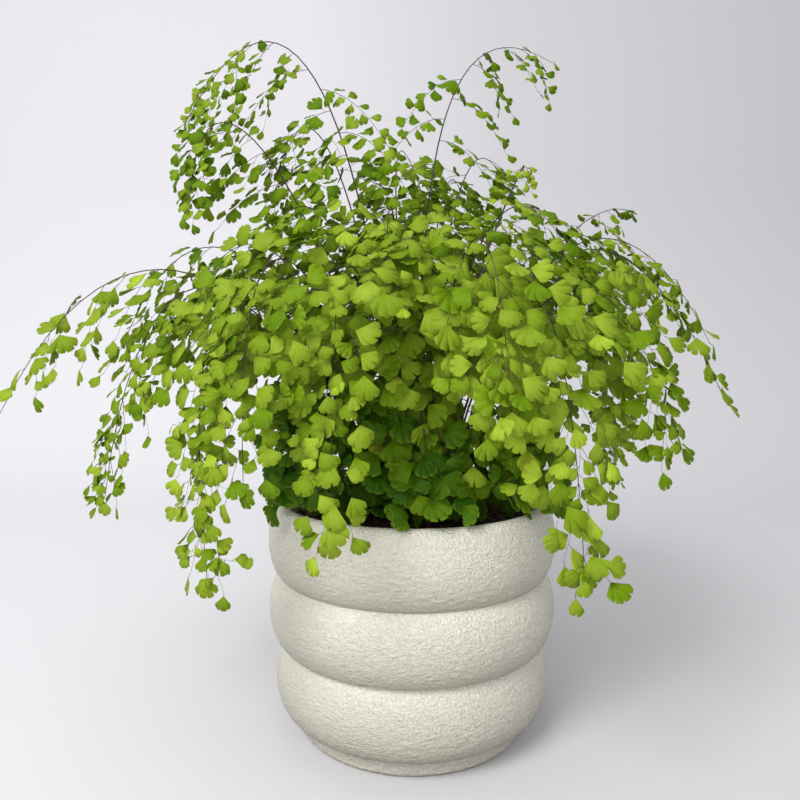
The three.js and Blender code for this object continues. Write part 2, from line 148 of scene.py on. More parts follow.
# How long a pinna is beside the longest, by where it leaves the stalk. Lean and stray are in
# degrees here and in a leaflet, and the rest are shares of its length.
PINNA_AT = [0.20, 0.40, 0.52, 0.63, 0.73, 0.80, 0.90, 1.0]
PINNA_SHARE = [0.62, 0.86, 1.0, 0.92, 0.78, 0.64, 0.44, 0.24]
PINNA = {"lean": (64, 40), "stray": 7, "turn": 16, "sag": 0.25, "rise": 0.25}
PINNA |= {"straight": 0.5, "reach": 0.95, "vary": (0.86, 1.06)}

# How each kind of frond grows, by the start of its name: size of its leaflets, how much smaller
# they are at its tip, their step along a pinna and the step of the pinnae as shares of a leaflet,
# how far a pinna droops, how many twigs it has, where on the stalk the first one leaves, how
# fast the pinnae shorten towards the tip, how young it is, and what its leaflets turn to
# besides outwards.
Habit = namedtuple("Habit", "size fade step pinnae droop twigs start shorten age light")
HABIT_ROWS = {
    "spray_tall": (0.76, 0.24, 0.68, 1.60, 0.80, 0, 0.42, 0.6, 0.44, (0, -1.1, 0.7)),
    "spray": (0.94, 0.24, 0.62, 0.95, 0.55, 1, 0.40, 1.0, 0.42, (0, -0.9, 0.7)),
    "arch_left": (1.04, 0.24, 0.66, 1.40, 0.75, 0, 0.34, 1.4, 0.44, (0, -0.7, 0.9)),
    "arch_right": (0.96, 0.24, 0.64, 1.05, 0.50, 1, 0.34, 1.9, 0.46, (0, -0.5, 0.9)),
    "arch": (0.95, 0.24, 0.62, 1.02, 0.45, 2, 0.36, 1.5, 0.44, (0, -0.4, 0.9)),
    "crown": (0.80, 0.24, 0.55, 0.88, 0.30, 3, 0.26, 1.0, 0.46, (0, -0.15, 1.2)),
    "fall": (0.98, 0.36, 0.58, 1.00, 0.38, 2, 0.24, 0.75, 0.50, (0, -0.5, 0.6)),
    # The low fronds' age of 0 gives their leaflets the deep colour: partly their own, partly
    # painted shade for the shaded middle of the plant.
    "low": (1.18, 0.24, 0.52, 0.60, 0.85, 2, 0.08, 0.4, 0.0, (0, -0.9, 0.5)),
}
HABITS = {kind: Habit(*row) for kind, row in HABIT_ROWS.items()}

# Leaflets alternate along a pinna, and their sizes vary. The petiole is a share of the
# leaflet's own length.
LEAFLET = {"petiole": 0.24, "lean": (62, 40), "stray": 9, "taper": 0.26, "lift": 0.16}
LEAFLET |= {"vary": (0.84, 1.14), "petiole_varies": (0.8, 1.3), "nod_varies": (0.3, 1.7)}
TWIG = {"reach": 1.9, "sag": 0.14, "leaf": 0.86, "thick": 0.6, "room": 0.5}  # beside its leaflets
PETIOLE = 0.13  # the least radius of a petiole
TWIST = radians(17)  # how far a leaflet turns about its own axis
NOD = 0.28  # how far it sinks under its own weight

# A leaflet's fan: its opening in degrees, how deep the notches between its lobes are, how much
# longer one side is and how far the fan turns from its petiole, in degrees.
Fan = namedtuple("Fan", "opening notches lean turn")
FANS = [
    Fan(98, (0.12, 0.24, 0.10), 0.10, 10),
    Fan(84, (0.10, 0.13, 0.08), -0.16, -16),
    Fan(112, (0.20, 0.10, 0.14), 0.06, 0),
    Fan(94, (0.09, 0.36, 0.13), -0.08, 12),
    Fan(88, (0.12, 0.10), 0.18, 18),
    Fan(98, (0.10, 0.16), 0.08, 6),
    Fan(78, (0.17,), -0.12, -14),
]
BROAD = 4  # how many of the fans are broad ones, which grow on large leaflets
SMALL = 8.5  # a leaflet shorter than this has one of the narrow fans
LOBE = (0, 0.14, 0.5, 0.86)  # where the columns of a fan stand in a lobe
CORNER = 0.76  # how long a fan's straight sides are
HALFWAY = 0.52  # where its inner row lies
LEAF_THICKNESS = 0.025  # as a share of the leaflet's length
VEINS = 19  # pairs of veins across a leaflet

# The stage: the paper and the lamps in metres, the camera in millimetres and degrees.
PAPER = {"side": 9, "front": -9, "back": 1.3, "rise": 3.2, "bend": 0.7}
LAMPS = {"key": ((-0.95, -1.35, 1.65), 0.9), "fill": ((-0.05, -1.75, 0.55), 1.2)}  # place, size
LAMP_AIM = (0, 0, 0.2)
CAMERA = {"lens": 29.25, "place": (-7.35, -412, 226), "tilt": 3.4}


# ---- settings a user would change


def colour(name, description, default):
    """A colour setting."""
    return bpy.props.FloatVectorProperty(
        name=name, description=description, subtype="COLOR", default=default, min=0, max=1
    )


def measure(name, description, default, least=0.1):
    """A length setting, whose default and least are in millimetres."""
    limits = {"default": default * MM, "min": least * MM, "unit": "LENGTH", "precision": 5}
    return bpy.props.FloatProperty(name=name, description=description, **limits)


def whole(name, description, default, least=0, most=2000):
    """A whole number that a user can set."""
    return bpy.props.IntProperty(
        name=name, description=description, default=default, min=least, max=most
    )


def watts(name, description, default):
    """The power of a lamp."""
    return bpy.props.FloatProperty(
        name=name, description=description, default=default, min=0, unit="POWER"
    )


class FERN_PG_pot(bpy.types.PropertyGroup):
    """Measures and colours of the pot and its saucer."""

    steps: whole("Steps", "Strips round the pot", 396, 48, 400)
    relief: measure("Relief", "Height of the hammered relief", 0.95, 0)
    grain: measure("Grain", "Width of one dent of the relief", 1.6, 0.5)
    glaze: colour("Glaze", "Colour of the matt glaze", (0.86, 0.835, 0.718))


class FERN_PG_mix(bpy.types.PropertyGroup):
    """Measures and colours of the potting mix."""

    crumbs: whole("Crumbs", "Lumps that lie on the mix", 520)
    lump: measure("Lump", "Length of the largest crumb", 4.2, 0.5)
    dark: colour("Dark", "Colour of the damp mix", (0.012, 0.006, 0.004))
    pale: colour("Pale", "Colour of its dry crumbs and bark", (0.085, 0.045, 0.026))
    fibres: whole("Fibres", "Strands of fibre that lie on the mix", 260)
    fibre: colour("Fibre", "Colour of the fibres", (0.21, 0.075, 0.045))


class FERN_PG_stubs(bpy.types.PropertyGroup):
    """Measures and colours of the dry stubs of old fronds."""

    stubs: whole("Stubs", "Stubs that stand in the mix", 11)
    radius: measure("Radius", "Radius of a stub at its foot", 0.85)
    dry: colour("Dry", "Colour of a dry stub", (0.24, 0.125, 0.05))


class FERN_PG_plant(bpy.types.PropertyGroup):
    """Measures and colours of the fronds."""

    stalk: measure("Stalk", "Radius of a stalk where it leaves the mix", STALK["radius"])
    seed: whole("Seed", "Start of the random draws", 7)
    deep: colour("Deep", "Colour of old leaflets", (0.030, 0.112, 0.002))
    middle: colour("Middle", "Colour of grown leaflets", (0.165, 0.290, 0.002))
    lime: colour("Lime", "Colour of young leaflets", (0.385, 0.525, 0.034))
    wire: colour("Stalks", "Colour of the stalks", (0.016, 0.008, 0.005))


class FERN_PG_stage(bpy.types.PropertyGroup):
    """The stage that the plant stands on."""

    paper: colour("Paper", "Colour of the floor and the back", (0.735, 0.725, 0.745))
    key: watts("Key", "Power of the main light", 35)
    fill: watts("Fill", "Power of the low front light", 10)
    room: bpy.props.FloatProperty(
        name="Room", description="Strength of the light from all round", default=0.58, min=0
    )


# ---- materials


class Recipe:
    """A material, or the world, while its nodes are being added."""

    def __init__(self, name, kind="materials"):
        self.owner = getattr(bpy.data, kind).new(name)
        self.owner.use_nodes = True
        self.tree = self.owner.node_tree
        self.tree.nodes.clear()

    def add(self, kind, inputs=None, **settings):
        """A node of a kind, with its settings and inputs. An input is a value or a socket."""
        node = self.tree.nodes.new("ShaderNode" + kind)
        for key, value in settings.items():
            setattr(node, key, value)
        for key, value in (inputs or {}).items():
            if isinstance(value, bpy.types.NodeSocket):
                self.tree.links.new(value, node.inputs[key])
            else:
                node.inputs[key].default_value = value
        return node

    def place(self, part=None):
        """The object's own coordinates, or the X, Y or Z part of them."""
        whole = self.add("TexCoord").outputs["Object"]
        return whole if part is None else self.part(whole, part)

    def part(self, vector, part):
        """The X, Y or Z part of a vector."""
        return self.add("SeparateXYZ", {"Vector": vector}).outputs[part]

    def spread(self, value, start=0.0, end=1.0, low=0.0, high=1.0):
        """A value between start and end, spread from low to high."""
        limits = {"From Min": start, "From Max": end, "To Min": low, "To Max": high}
        return self.add("MapRange", {"Value": value, **limits}).outputs[0]

    def noise(self, scale, detail=3.0, roughness=0.55, distortion=0.0, rise=1.0):
        """A cloud pattern of a scale, finer upwards as rise grows."""
        place = self.add("Mapping", {"Vector": self.place(), "Scale": (1.0, 1.0, rise)})
        inputs = {"Vector": place.outputs[0], "Scale": scale, "Detail": detail}
        inputs |= {"Roughness": roughness, "Distortion": distortion}
        return self.add("TexNoise", inputs).outputs["Fac"]

    def ramp(self, factor, stops):
        """A factor turned into a colour by stops of (place, colour)."""
        node = self.add("ValToRGB", {"Fac": factor})
        elements = node.color_ramp.elements
        while len(elements) < len(stops):
            elements.new(0.5)
        for element, (place, tint) in zip(elements, stops):
            element.position = place
            element.color = (*tint[:3], 1)
        return node.outputs["Color"]

    def sum(self, operation, *values):
        """A sum, product or other plain operation on numbers."""
        return self.add("Math", dict(enumerate(values)), operation=operation).outputs[0]

    def mix(self, factor, one, other, blend="MIX"):
        """Two colours mixed by a factor."""
        inputs = {0: factor, 6: one, 7: other}
        return self.add("Mix", inputs, data_type="RGBA", blend_type=blend).outputs[2]

    def bump(self, height, strength, distance, under=None):
        """A bump of a height pattern over another normal."""
        inputs = {"Height": height, "Strength": strength, "Distance": distance}
        if under is not None:
            inputs["Normal"] = under
        return self.add("Bump", inputs).outputs["Normal"]

    def skin(self, tint, rough, **others):
        """A plain surface of a colour and a roughness."""
        inputs = {"Base Color": tint, "Roughness": rough, **others}
        return self.add("BsdfPrincipled", inputs)

    def done(self, shader, kind="Material"):
        """The material, or the world, with this shader on it."""
        self.add("Output" + kind, {"Surface": shader.outputs[0]})
        return self.owner


def shade(tint, share):
    """A colour made darker or lighter, with its fourth part."""
    return (*(min(1.0, part * share) for part in tint), 1.0)


def glaze_material(settings):
    """Matt off-white glaze, grained like leather, with painted shade in its dents, on its
    undersides and towards its foot.
    """
    recipe = Recipe("matt_glaze")
    glaze = settings.glaze
    grain = recipe.noise(820, 1, 0.5, 0.5, rise=1.4)
    broad = recipe.noise(26, 2)
    specks = recipe.noise(1500, 2)
    body = recipe.ramp(broad, [(0.3, shade(glaze, 0.97)), (0.7, shade(glaze, 1.02))])
    # Painted shade: the glaze is darkened in the dents that the grain's bump sinks.
    painted_dent_shade = recipe.ramp(grain, [(0.34, shade(glaze, 0.76)), (0.55, glaze)])
    tint = recipe.mix(0.5, body, painted_dent_shade)
    # Painted shade: the glaze is darkened on faces that turn downwards, under each bulge.
    upward = recipe.part(recipe.add("NewGeometry").outputs["Normal"], "Z")
    painted_underside_shade = [(0, (0.42, 0.41, 0.37)), (0.6, (0.80, 0.80, 0.785)), (1, (1, 1, 1))]
    painted_underside_shade = recipe.ramp(recipe.spread(upward, -0.75, 0.5), painted_underside_shade)
    tint = recipe.mix(1, tint, painted_underside_shade, "MULTIPLY")
    # Painted shade and light by height: the glaze is darkened towards the foot and lightened
    # towards the rim.
    height = recipe.spread(recipe.place("Z"), 0, 0.17, 0.79, 1.07)
    foot = recipe.add("CombineColor", {i: height for i in range(3)})
    tint = recipe.mix(1, tint, foot.outputs[0], "MULTIPLY")
    rough = recipe.spread(specks, low=0.36, high=0.56)
    normal = recipe.bump(grain, 1, 1.3 * MM)
    normal = recipe.bump(specks, 0.08, 0.1 * MM, normal)
    return recipe.done(recipe.skin(tint, rough, Normal=normal, IOR=1.45))


def mix_material(settings):
    """Damp peat with paler crumbs of bark."""
    recipe = Recipe("damp_peat")
    crumbs = recipe.noise(330, 4, 0.65)
    patches = recipe.noise(60, 3)
    both = recipe.sum("MULTIPLY_ADD", patches, 0.55, recipe.sum("MULTIPLY", crumbs, 0.5))
    stops = [(0.38, settings.dark), (0.55, shade(settings.pale, 0.45)), (0.72, settings.pale)]
    normal = recipe.bump(crumbs, 0.7, 1.2 * MM)
    return recipe.done(recipe.skin(recipe.ramp(both, stops), 0.93, Normal=normal))


def leaf_material(settings):
    """Thin leaf, coloured by each leaflet's age, with veins that fan out and a pale edge."""
    recipe = Recipe("thin_leaf")
    tone = recipe.add("Attribute", attribute_name="tone").outputs["Color"]
    parts = recipe.add("SeparateColor", {"Color": tone})
    age, draw = parts.outputs[0], parts.outputs[1]
    fan = recipe.add("UVMap", uv_map="fan").outputs[0]
    across, along = recipe.part(fan, "X"), recipe.part(fan, "Y")
    mottle = recipe.noise(160, 3)
    uneven = recipe.sum("MULTIPLY_ADD", mottle, 0.22, -0.11)
    youth = recipe.sum("ADD", recipe.sum("MULTIPLY_ADD", draw, 0.16, age), uneven)
    stops = [(0.02, settings.deep), (0.42, settings.middle)]
    stops += [(0.74, shade(settings.lime, 0.82)), (1, shade(settings.lime, 1.25))]
    body = recipe.ramp(youth, stops)
    wave = recipe.sum("SINE", recipe.sum("MULTIPLY", across, 2 * pi * VEINS))
    vein = recipe.sum("POWER", recipe.sum("ABSOLUTE", wave), 5)
    vein = recipe.sum("MULTIPLY", vein, recipe.sum("MULTIPLY", along, 1.1))
    edge = recipe.spread(along, 0.86, 1, 0, 0.22)
    body = recipe.mix(recipe.sum("MULTIPLY", vein, 0.10), body, shade(settings.deep, 0.9))
    body = recipe.mix(edge, body, shade(settings.lime, 1.1))
    glow = recipe.mix(0.35, body, shade(settings.lime, 1.3))
    normal = recipe.bump(vein, 0.15, 0.15 * MM)
    skin = recipe.skin(body, 0.55, **{"Specular IOR Level": 0.14, "Normal": normal})
    through = recipe.add("BsdfTranslucent", {"Color": glow, "Normal": normal})
    both = {0: 0.28, 1: skin.outputs[0], 2: through.outputs[0]}
    return recipe.done(recipe.add("MixShader", both))


def stalk_material(settings):
    """Wiry stalk, nearly black, polished, with redder stretches."""
    recipe = Recipe("polished_stalk")
    streaks = recipe.noise(900, 2, rise=0.12)
    patches = recipe.noise(45, 1)
    red = (settings.wire[0] * 3.4, settings.wire[1] * 2.4, settings.wire[2] * 1.6)
    tint = recipe.ramp(patches, [(0.42, settings.wire), (0.68, red)])
    rough = recipe.spread(streaks, low=0.24, high=0.42)
    return recipe.done(recipe.skin(tint, rough, Normal=recipe.bump(streaks, 0.15, 0.1 * MM)))


def dry_material(name, pale):
    """Dry brown fibre, streaked along its length."""
    recipe = Recipe(name)
    streaks = recipe.noise(700, 3, rise=0.15)
    tint = recipe.ramp(streaks, [(0.35, shade(pale, 0.3)), (0.65, pale)])
    return recipe.done(recipe.skin(tint, 0.7, Normal=recipe.bump(streaks, 0.4, 0.2 * MM)))


def paper_material(settings):
    """Matt seamless paper, with painted shade darker towards the right and painted light at the
    back.
    """
    recipe = Recipe("studio_paper")
    # Painted shade: the paper grows darker from left to right.
    across = recipe.spread(recipe.place("X"), -1)
    shares = [(0, 1), (0.38, 0.99), (0.5, 0.92), (0.62, 0.86), (1, 0.82)]
    tint = recipe.ramp(across, [(stop, shade(settings.paper, share)) for stop, share in shares])
    # Painted light: the paper is lightened towards the back.
    back = recipe.spread(recipe.place("Y"), 0.2)
    tint = recipe.mix(back, tint, (1.1, 1.1, 1.1, 1), "MULTIPLY")
    return recipe.done(recipe.skin(tint, 0.9))


# ---- modelling helpers


def only(piece):
    """Selects this piece alone and makes it active."""
    bpy.ops.object.select_all(action="DESELECT")
    piece.select_set(True)
    bpy.context.view_layer.objects.active = piece


def mode(name):
    """Goes to edit or object mode."""
    bpy.ops.object.mode_set(mode=name)


def primitive(kind, **settings):
    """A new mesh primitive, added with nothing else selected."""
    bpy.ops.object.select_all(action="DESELECT")
    getattr(bpy.ops.mesh, f"primitive_{kind}_add")(**settings)
    return bpy.context.object


def placed(name, data):
    """A new object in the scene that holds this data."""
    piece = bpy.data.objects.new(name, data)
    bpy.context.scene.collection.objects.link(piece)
    return piece


def weld(gap):
    """Joins the points within a gap of each other, in edit mode, and turns faces outwards."""
    bpy.ops.mesh.select_all(action="SELECT")
    bpy.ops.mesh.remove_doubles(threshold=gap)
    bpy.ops.mesh.normals_make_consistent(inside=False)


def finish_piece(piece, material, slot, *nodes):
    """Gives a piece its material and lets it ride in place of its nodes; the slot is not used."""
    piece.data.name = piece.name
    piece.data.materials.clear()
    piece.data.materials.append(material)
    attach(piece, BODY)
    if nodes:
        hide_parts(*nodes)


def turned(name, profile, steps):
    """A closed profile of (radius, height) points, spun round the vertical axis."""
    piece = primitive("circle", vertices=len(profile), fill_type="NOTHING")
    piece.name = name
    for vertex, (radius, height) in zip(piece.data.vertices, profile):
        vertex.co = (radius * MM, 0, height * MM)
    mode("EDIT")
    bpy.ops.mesh.select_all(action="SELECT")
    bpy.ops.mesh.spin(steps=steps, angle=2 * pi, center=(0, 0, 0), axis=(0, 0, 1))
    weld(0.01 * MM)
    bpy.ops.mesh.faces_shade_smooth()
    mode("OBJECT")
    return piece


def dented(piece, weight, depth, cell, detail=2):
    """A cloud relief pressed into a piece, by a weight of (radius, height) in millimetres.

    Cell is the size of one dent each way.
    """
    group = piece.vertex_groups.new(name="relief")
    for vertex in piece.data.vertices:
        x, y, z = vertex.co / MM
        share = weight(hypot(x, y), z)
        if share > 0:
            group.add([vertex.index], share, "REPLACE")
    clouds = bpy.data.textures.new("relief", "CLOUDS")
    clouds.noise_scale = 1.0
    clouds.noise_depth = detail
    clouds.noise_type = "HARD_NOISE"
    ruler = placed("relief_ruler", None)
    ruler.scale = cell
    only(piece)
    relief = piece.modifiers.new("relief", "DISPLACE")
    relief.texture = clouds
    relief.texture_coords = "OBJECT"
    relief.texture_coords_object = ruler
    relief.strength = depth
    relief.mid_level = 0.5
    relief.vertex_group = "relief"
    bpy.context.view_layer.update()
    bpy.ops.object.modifier_apply(modifier=relief.name)
    bpy.data.objects.remove(ruler)
    bpy.data.textures.remove(clouds)
    piece.vertex_groups.clear()


def steps_between(start, end, pitch):
    """Evenly spaced values from start to end, no further apart than the pitch."""
    steps = max(1, ceil(abs(end - start) / pitch))
    return [start + (end - start) * i / steps for i in range(steps + 1)]


def bezier(points, t):
    """The point at a share of a Bezier curve."""
    while len(points) > 1:
        points = [a.lerp(b, t) for a, b in zip(points, points[1:])]
    return points[0]


def heading(points, t):
    """The direction of a Bezier curve at a share of it."""
    return bezier([b - a for a, b in zip(points, points[1:])], t).normalized()


def drawn(points, steps, first=0):
    """The points of a Bezier curve, from one of its steps on."""
    return [bezier(points, i / steps) for i in range(first, steps + 1)]


def curve_length(points, steps=12):
    """How long a Bezier curve is."""
    line = drawn(points, steps)
    return sum((b - a).length for a, b in zip(line, line[1:]))


def around(radius, turn, height=0.0):
    """The point at a radius, a turn round the axis and a height."""
    return Vector((radius * cos(turn), radius * sin(turn), height))


def smooth(share):
    """Eases a share between 0 and 1."""
    share = min(1.0, max(0.0, share))
    return share * share * (3 - 2 * share)


# ---- pot, saucer and potting mix


def bulge_radius(bulge, height):
    """The radius of a bulge's ellipse at a height."""
    reach = (height - bulge.height) / (bulge.below if height < bulge.height else bulge.above)
    return bulge.radius - SWELL * (1 - sqrt(max(0.0, 1 - reach * reach)))


def pot_profile(pitch):
    """The pot's closed section, from its foot up the outside, over the rim and down inside."""
    low, middle, high = BULGES
    outside = [(6, BASE + 2), (56, BASE + 2), (58, BASE + 1.6), (59.5, BASE), (64, BASE)]
    outside += [(65, BASE + 1), (65, 9.4), (66, UNDERSIDE[1]), UNDERSIDE, (75.2, 11)]
    for bulge, start, end in (
        (low, UNDERSIDE[1] + 1.6, CREASES[0]),
        (middle, CREASES[0] + 0.5, CREASES[1]),
        (high, CREASES[1] + 0.5, SHOULDER),
    ):
        outside += [(bulge_radius(bulge, z), z) for z in steps_between(start, end, pitch)]
    start = Vector(outside[-1])
    slope = (start - Vector(outside[-2])).normalized()
    crown, mouth = Vector(RIM), Vector(MOUTH)
    over = [start, start + 6 * slope, crown + Vector((4.4, 0)), crown]
    inner = [crown, crown - Vector((2.4, 0)), mouth + Vector((0.3, 2.6)), mouth]
    rim = drawn(over, 14, 1) + drawn(inner, 6, 1)
    rim += [mouth.lerp(Vector(INSIDE), share) for share in WALL_AT]
    floor = [(radius, INSIDE[1]) for radius in (INSIDE[0] - 2, 40, 6)]
    return outside + [tuple(point) for point in rim] + floor


def pot_relief(radius, height):
    """The relief covers the outer wall and fades over the rim and into the creases."""
    if radius < RIM[0] - 5 or height < UNDERSIDE[1] + 0.5:
        return 0.0
    share = 1.0 - 0.6 * smooth((height - 134) / 6)
    for crease in CREASES:
        share *= 0.35 + 0.65 * smooth(abs(height - crease) / 5)
    return share


def saucer_profile():
    """The saucer's closed section, from the middle of its underside round its wall."""
    radius, height = SAUCER["radius"], SAUCER["height"]
    inner, floor = radius - SAUCER["wall"], BASE
    outside = [(0, 0), (40, 0), (radius - 3, 0), (radius - 1.6, 0.2), (radius - 0.6, 0.9)]
    outside += [(radius, z) for z in steps_between(1.8, height - 1.2, 0.8)]
    lip = [(radius - 0.25, height - 0.6), (radius - 0.8, height - 0.15), (radius - 1.5, height)]
    lip += [(inner + 0.8, height - 0.15), (inner + 0.25, height - 0.6), (inner, height - 1.3)]
    return outside + lip + [(inner, floor + 0.6), (inner - 0.8, floor), (40, floor), (0, floor)]


def saucer_relief(radius, height):
    """The relief covers the saucer's wall but not the face it stands on."""
    return 1.0 if radius > SAUCER["relief_from"] and height > 0.5 else 0.0


def mix_relief(radius, height):
    """The mix is lumpy on top and follows the pot at its edge."""
    return 1.0 if height > 120 and radius < 74 else 0.0


def mix_height(radius):
    """The height of the potting mix at a distance from its middle."""
    share = smooth((radius - MIX["shoulder"]) / (inner_radius(MIX["edge"]) - MIX["shoulder"]))
    return MIX["crown"] - (MIX["crown"] - MIX["edge"]) * share


def inner_radius(height):
    """The radius of the pot's inner wall at a height."""
    share = (height - INSIDE[1]) / (MOUTH[1] - INSIDE[1])
    return INSIDE[0] + share * (MOUTH[0] - INSIDE[0])


def mix_profile():
    """The potting mix's section, from the middle of its underside up and in over its top."""
    low = INSIDE[1] + 0.4
    edge = inner_radius(MIX["edge"]) - 0.1
    sides = [(0, low), (INSIDE[0] - 1, low), (inner_radius(100) - 0.1, 100)]
    sides += [(edge, z) for z in (118, 122, 124)]
    return sides + [(r, mix_height(r)) for r in steps_between(edge, 0, 1.7)]


# ---- copies of small shapes


def column(items, key, kind=float, width=1):
    """One property of every item of a mesh, as an array."""
    values = np.empty(width * len(items), kind)
    items.foreach_get(key, values)
    return values.reshape(-1, width) if width > 1 else values


def shape_of(piece):
    """A small piece as arrays: points, face sizes, corners, UV and smoothness. Deletes it."""
    mesh = piece.data
    points = column(mesh.vertices, "co", width=3)
    sizes = column(mesh.polygons, "loop_total", np.int32)
    corners = column(mesh.loops, "vertex_index", np.int32)
    even = column(mesh.polygons, "use_smooth", bool)
    uv = np.zeros((len(corners), 2))
    if mesh.uv_layers:
        uv = column(mesh.uv_layers[0].uv, "vector", width=2)
    bpy.data.objects.remove(piece)
    return points, sizes, corners, uv, even


def copies(name, shapes, placings):
    """One new piece that holds a copy of a shape for each (shape number, matrix, tone)."""
    parts = []
    offset = 0
    for number, matrix, tone in placings:
        points, sizes, corners, uv, even = shapes[number]
        turn = np.array(matrix)
        moved = points @ turn[:3, :3].T + turn[:3, 3]
        tones = np.tile((*tone, 1.0), (len(points), 1))
        parts.append((moved, sizes, corners + offset, uv, even, tones))
        offset += len(points)
    points, sizes, corners, uv, even, tones = (np.concatenate(rows) for rows in zip(*parts))
    mesh = bpy.data.meshes.new(name)
    mesh.vertices.add(len(points))
    mesh.loops.add(len(corners))
    mesh.polygons.add(len(sizes))
    mesh.vertices.foreach_set("co", points.ravel())
    mesh.loops.foreach_set("vertex_index", corners)
    mesh.polygons.foreach_set("loop_start", np.concatenate(([0], np.cumsum(sizes)[:-1])))
    mesh.polygons.foreach_set("use_smooth", even)
    mesh.update(calc_edges=True)
    mesh.uv_layers.new(name="fan").uv.foreach_set("vector", uv.ravel())
    attribute = mesh.attributes.new("tone", "FLOAT_COLOR", "POINT")
    attribute.data.foreach_set("color", tones.ravel())
    return placed(name, mesh)


def wires(name, strands):
    """One new piece of round wires, each a list of (point, radius), with closed ends."""
    curve = bpy.data.curves.new(name, "CURVE")
    curve.dimensions = "3D"
    curve.bevel_depth = 1.0
    curve.bevel_resolution = 0
    curve.use_fill_caps = True
    for strand in strands:
        spline = curve.splines.new("POLY")
        spline.points.add(len(strand) - 1)
        for knot, (place, radius) in zip(spline.points, strand):
            knot.co = (*(place * MM), 1)
            knot.radius = radius * MM
    only(placed(name, curve))
    bpy.ops.object.convert(target="MESH")
    bpy.ops.object.shade_smooth()
    return bpy.context.object


# ---- leaflets and fronds


def fan_edge(fan):
    """The columns of a fan: how far across each stands, and how far its lobed edge reaches."""
    lobes = len(fan.notches) + 1
    columns = []
    for lobe in range(lobes):
        for place in LOBE:
            across = (lobe + place) / lobes
            swell = 1 + 0.035 * sin(pi * place)
            if place == 0 and lobe > 0:
                swell = 1 - fan.notches[lobe - 1]
            columns.append((across, swell))
    return columns + [(1.0, 1.0)]


def fan_shape(fan):
    """A leaflet one unit long: a straight-sided wedge with a lobed outer edge, a little cupped."""
    columns = fan_edge(fan)
    strips = len(columns) - 1
    piece = primitive("grid", x_subdivisions=strips, y_subdivisions=2, size=2)
    layer = piece.data.uv_layers.active or piece.data.uv_layers.new(name="fan")
    flat = [vertex.co.copy() for vertex in piece.data.vertices]
    places = [(columns[round((x + 1) / 2 * strips)], (y + 1) / 2) for x, y, _ in flat]
    for loop in piece.data.loops:
        (across, _), out = places[loop.vertex_index]
        layer.uv[loop.index].vector = (across, out)
    for vertex, ((across, swell), out) in zip(piece.data.vertices, places):
        x = 2 * across - 1
        whole = (CORNER + (1 - CORNER) * (1 - abs(x) ** 3)) * (1 + fan.lean * x)
        radius = whole * swell if out == 1 else whole * HALFWAY * ceil(out)
        angle = radians(0.5 * fan.opening * x + fan.turn)
        side = radius * sin(angle)
        wave = 0.03 * out * sin(2 * pi * across * (len(fan.notches) + 1) + 1.2)
        cup = 0.2 * side * side + 0.1 * radius * radius
        vertex.co = (side, radius * cos(angle), wave - cup)
    mode("EDIT")
    weld(0.002)
    mode("OBJECT")
    if piece.data.polygons[0].normal.z < 0:
        piece.data.flip_normals()
    thick = piece.modifiers.new("thickness", "SOLIDIFY")
    thick.thickness = LEAF_THICKNESS
    thick.offset = 0
    bpy.ops.object.modifier_apply(modifier=thick.name)
    for face in piece.data.polygons:
        face.use_smooth = abs(face.normal.z) > 0.5
    return shape_of(piece)


def roots_of(rows):
    """Where the stalks stand: towards their crests, pushed apart where they are too close."""
    roots = []
    for row in rows:
        x, y, z = row.crest
        reach = hypot(x, y)
        lean = min(1.0, CROWN["spread"] * reach / (z - MIX["crown"]))
        roots.append(Vector((x, y)) * (CROWN["radius"] * lean / reach))
    for _ in range(CROWN["passes"]):
        for i, one in enumerate(roots):
            for other in roots[i + 1 :]:
                away = other - one
                short = CROWN["spacing"] - away.length
                if short > 0:
                    away.length = short / 2
                    other += away
                    one -= away
    return roots


def frond_curve(root, row):
    """The Bezier curve of a frond from the mix, through its crest, to its tip."""
    t = CURVE["crest_at"]
    foot = Vector((root.x, root.y, MIX["crown"]))
    crest, tip = Vector(row.crest), Vector(row.tip)
    rise = foot.lerp(crest, CURVE["out"])
    rise.z = foot.z + CURVE["up"] * (crest.z - foot.z)
    held = (1 - t) ** 3 * foot + 3 * t * (1 - t) ** 2 * rise + t**3 * tip
    return [foot, rise, (crest - held) / (3 * t * t * (1 - t)), tip]


def stalk_line(curve):
    """The points of a stalk: sunk in the mix, upright out of its hole, then along its curve."""
    line = [curve[0] + UP * rise for rise in (-STALK["sunk"], STALK["upright"])]
    return line + drawn(curve, STALK["steps"], 2)


def habit_of(name):
    """The habit of the kind that a frond's name starts with."""
    return next(habit for kind, habit in HABITS.items() if name.startswith(kind))


def clear_of_pot(*places):
    """Whether all these places keep off the pot and the potting mix."""
    for x, y, z in places:
        radius = hypot(x, y)
        floor = MIX["crown"] if radius < MOUTH[0] - 8 else RIM[1]
        if radius < BULGES[-1].radius + 6 and z < floor + 3:
            return False
    return True


